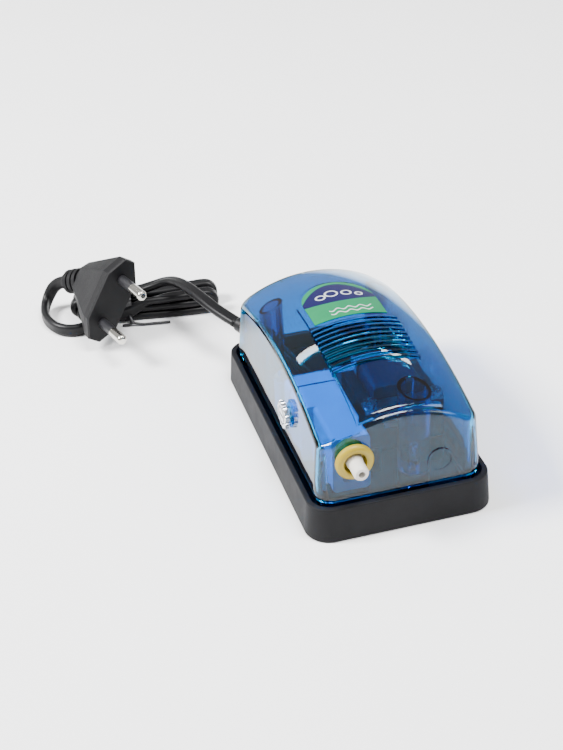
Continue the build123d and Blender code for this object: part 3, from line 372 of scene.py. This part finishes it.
route = [
    mm(*relief_end),
    mm(*(relief_end + relief_dir * 11.0)),
    mm(-36.4, 84.0, 20.6),
    mm(-39.6, 97.6, 19.2),
    mm(-43.6, 108.0, 16.0),
    hank(1.5, -0.5, 11.0),
    # first pass, on top, sinking to the left
    hank(-9.0, 0.2, 8.4),
    hank(-18.0, 0.3, 7.2),
    hank(-25.0, 0.2, 7.35),
    hank(-27.4, 0.1, 7.1),
    hank(-29.0, 0.0, 5.6),
    hank(-29.0, 0.0, 3.3),
    hank(-27.4, -0.1, 1.75),
    hank(-25.0, -0.2, 1.65),
    # second pass, underneath, back to the right
    hank(-12.0, -0.2, 1.65),
    hank(4.0, 0.2, 1.65),
    hank(17.0, 0.6, 1.65),
    hank(24.6, 1.2, 1.65),
    hank(27.3, 1.7, 1.75),
    hank(29.05, 2.6, 3.45),
    hank(29.05, 4.0, 5.95),
    hank(27.3, 5.0, 7.65),
    hank(24.6, 5.3, 7.75),
    hank(19.0, 5.3, 7.0),
    # third pass, at the back
    hank(8.0, 5.4, 5.6),
    hank(-8.0, 5.5, 5.1),
    hank(-18.0, 5.4, 6.2),
    hank(-24.0, 5.4, 7.25),
    hank(-26.4, 5.3, 7.05),
    hank(-28.0, 5.2, 5.5),
    hank(-28.0, 5.2, 3.3),
    hank(-26.4, 5.2, 1.75),
    hank(-24.0, 5.2, 1.65),
    # fourth pass, at the back, below
    hank(-10.0, 5.2, 1.65),
    hank(4.0, 5.2, 1.65),
    hank(13.0, 4.9, 1.65),
    hank(19.5, 4.9, 1.9),
    hank(24.0, 3.4, 3.4),
    hank(25.2, -0.2, 4.6),
    hank(24.0, -3.8, 5.2),
    hank(19.5, -5.3, 5.3),
    # fifth pass, at the front
    hank(6.0, -5.3, 5.1),
    hank(-8.0, -5.3, 5.0),
    hank(-16.0, -5.3, 6.0),
    hank(-22.0, -5.2, 7.05),
    hank(-24.4, -5.2, 6.85),
    hank(-26.0, -5.2, 5.4),
    hank(-26.0, -5.2, 3.2),
    hank(-24.4, -5.3, 1.75),
    hank(-22.0, -5.3, 1.65),
    # sixth pass, at the front, below
    hank(-8.0, -5.4, 1.65),
    hank(8.0, -5.4, 1.65),
    hank(18.0, -5.1, 1.65),
    hank(24.2, -4.8, 1.65),
    hank(27.0, -4.5, 1.8),
    hank(29.15, -4.2, 3.8),
    hank(29.15, -3.9, 6.8),
    hank(27.0, -4.0, 8.85),
    hank(24.2, -4.4, 9.0),
    hank(20.0, -4.8, 8.9),
    # last pass, on top at the front, down to the tail
    hank(10.0, -5.6, 8.6),
    hank(0.0, -6.6, 7.6),
    hank(-7.0, -8.4, 4.6),
    mm(-68.0, 109.4, 2.65),
    mm(-77.0, 105.4, 2.62),
    mm(-84.6, 103.1, 2.62),
    mm(-91.4, 107.8, 2.62),
    mm(-94.4, 119.0, 2.62),
    mm(-91.6, 129.4, 3.6),
    mm(*(collar_end + collar_dir * 6.5)),
    mm(*collar_end),
]

guide = bpy.data.curves.new("cord_route", "CURVE")
guide.dimensions = "3D"
guide.resolution_u = 10
spline = guide.splines.new("NURBS")
spline.points.add(len(route) - 1)
for pt, p in zip(spline.points, route):
    pt.co = (*p, 1.0)
spline.order_u = 3
spline.use_endpoint_u = True
guide_obj = bpy.data.objects.new("cord_route", guide)
scene.collection.objects.link(guide_obj)
bpy.context.view_layer.update()
line = bpy.data.meshes.new_from_object(guide_obj)
centre = np.array([v.co[:] for v in line.vertices], float)
bpy.data.objects.remove(guide_obj)


def flat_cord_mesh(name, pts):
    """Flat two-core sheath swept along pts, with its wide side turned as it lies."""
    n = len(pts)
    seg = np.linalg.norm(np.diff(pts, axis=0), axis=1)
    s = np.concatenate([[0], np.cumsum(seg)])
    tan = np.gradient(pts, s, axis=0)
    tan /= np.linalg.norm(tan, axis=1)[:, None]
    # transported frame
    a = np.cross([0, 0, 1.0], tan[0])
    a /= np.linalg.norm(a)
    frames = [a]
    for i in range(1, n):
        b = frames[-1] - tan[i] * frames[-1].dot(tan[i])
        frames.append(b / np.linalg.norm(b))
    frames = np.array(frames)
    side = np.cross(tan, frames)
    # wide side: level on the lead, across the hank, on edge along the tail
    total = s[-1]
    want = np.zeros((n, 3))
    inside = (s > 0.058) & (s < total - 0.078)
    tail = s >= total - 0.078
    for i in range(n):
        if inside[i]:
            w = np.array(V[:])
        elif tail[i]:
            w = np.array([0.0, 0.0, 1.0])
        else:
            w = np.cross([0, 0, 1.0], tan[i])
        w = w - tan[i] * w.dot(tan[i])
        want[i] = w / max(1e-9, np.linalg.norm(w))
    ang = np.arctan2((want * side).sum(1), (want * frames).sum(1))
    ang = np.unwrap(ang * 2) / 2
    grid = np.linspace(0, total, 1200)
    smooth = np.interp(grid, s, ang)
    width = max(3, int(0.012 / (total / 1200)))
    pad = np.concatenate([np.full(width, smooth[0]), smooth, np.full(width, smooth[-1])])
    kern = np.hanning(2 * width + 1)
    kern /= kern.sum()
    smooth = np.convolve(pad, kern, "valid")
    ang = np.interp(s, grid, smooth)
    # outline: stadium with a shallow groove along each flat side
    outline = []
    steps = 28
    for k in range(steps):
        t = 2 * math.pi * k / steps
        c, q = math.cos(t), math.sin(t)
        x = (WIDE - THICK) / 2 * (1 if c > 0 else -1) * min(1, abs(c) * 3) + THICK / 2 * c
        y = THICK / 2 * q
        groove = 0.28 * MM * math.exp(-((x / (0.55 * MM)) ** 2))
        y -= math.copysign(groove, q) if abs(q) > 0.5 else 0
        outline.append((x, y))
    bm = bmesh.new()
    rings = []
    for i in range(n):
        ca, sa = math.cos(ang[i]), math.sin(ang[i])
        w = frames[i] * ca + side[i] * sa
        h = np.cross(tan[i], w)
        ring = []
        for x, y in outline:
            p = pts[i] + w * x + h * y
            ring.append(bm.verts.new((p[0], p[1], max(p[2], 0.00005))))
        rings.append(ring)
    for r0, r1 in zip(rings, rings[1:]):
        for k in range(steps):
            bm.faces.new((r0[k], r0[(k + 1) % steps], r1[(k + 1) % steps], r1[k]))
    bm.faces.new(rings[0][::-1])
    bm.faces.new(rings[-1])
    bmesh.ops.recalc_face_normals(bm, faces=bm.faces)
    me = bpy.data.meshes.new(name)
    bm.to_mesh(me)
    bm.free()
    for f in me.polygons:
        f.use_smooth = True
    ob = bpy.data.objects.new(name, me)
    scene.collection.objects.link(ob)
    return ob, total


mains_cord, cord_length = flat_cord_mesh("mains_cord", centre)
mains_cord.data.materials.append(MATS["cord_pvc"].m)
print("cord length mm", round(cord_length * 1000, 1), "points", len(centre))
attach(mains_cord, "base")
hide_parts("cord_lead", "cord_hank", "cord_tail")

# -------------------------------------------------- softer edges on CAD pieces
for name, width in (
    ("plug_body", 0.0005),
    ("flow_knob", 0.0001),
    ("outlet_grommet", 0.0002),
):
    ob = frame["nodes"][name]
    bev = ob.modifiers.new("soft_edges", "BEVEL")
    bev.width = width
    bev.segments = 3
    bev.limit_method = "ANGLE"
    bev.angle_limit = math.radians(28)
    bev.harden_normals = False

# --------------------------------------------------------- floor and lamps
bm = bmesh.new()
bmesh.ops.create_grid(bm, x_segments=4, y_segments=4, size=3.0)
floor_mesh = bpy.data.meshes.new("floor")
bm.to_mesh(floor_mesh)
bm.free()
floor = bpy.data.objects.new("floor", floor_mesh)
scene.collection.objects.link(floor)
paper = Mat("paper")
grain = paper.noise(9.0, 2.0)
paper.link(
    paper.ramp(grain.outputs["Fac"], [(0.3, (0.86, 0.86, 0.865)), (0.7, (0.88, 0.88, 0.885))]),
    paper.p.inputs["Base Color"],
)
paper.set(Roughness=0.9)
paper.p.inputs["Specular IOR Level"].default_value = 0.1
floor.data.materials.append(paper.m)

world = bpy.data.worlds.new("studio")
scene.world = world
world.use_nodes = True
bg = world.node_tree.nodes["Background"]
bg.inputs[0].default_value = (1.0, 1.0, 1.0, 1.0)
bg.inputs[1].default_value = 0.62


def lamp(name, at, aim, size, power, colour=(1, 1, 1)):
    data = bpy.data.lights.new(name, "AREA")
    data.shape = "RECTANGLE"
    data.size, data.size_y = size
    data.energy = power
    data.color = colour
    ob = bpy.data.objects.new(name, data)
    ob.location = at
    ob.rotation_euler = (Vector(aim) - Vector(at)).to_track_quat("-Z", "Y").to_euler()
    scene.collection.objects.link(ob)
    return ob


def strip(name, way, mark, far, size, along, power):
    """Narrow lamp seen in the shell: way is its direction from mark, along its long side."""
    back = Vector(way).normalized()
    run = Vector(along)
    run = (run - back * run.dot(back)).normalized()
    ob = lamp(name, Vector(mark) + back * far, mark, size, power)
    m = Matrix((run, back.cross(run), back)).transposed().to_4x4()
    m.translation = Vector(mark) + back * far
    ob.matrix_world = m
    return ob


lamp("key", (-1.02, 0.20, 0.98), (-0.01, 0.02, 0.02), (0.40, 0.40), 62.0)
lamp("fill", (0.95, -0.60, 0.90), (0, 0, 0.02), (0.5, 0.4), 5.0)
lamp("over", (0.22, -0.30, 1.40), (0, 0, 0.02), (0.55, 0.40), 30.0)
strip("back_strip", (-0.272, 0.750, 0.602), (-0.020, -0.011, 0.046), 1.2, (0.30, 0.06), (0.254, 0.0, 0.11), 1.6)
strip("right_strip", (0.448, 0.615, 0.649), (0.010, -0.030, 0.048), 1.2, (0.30, 0.035), (0.25, -0.05, -0.12), 0.9)
strip("top_strip", (0.214, -0.064, 0.974), (0.005, -0.050, 0.043), 1.2, (0.60, 0.10), (1.0, 0.0, -0.22), 3.0)
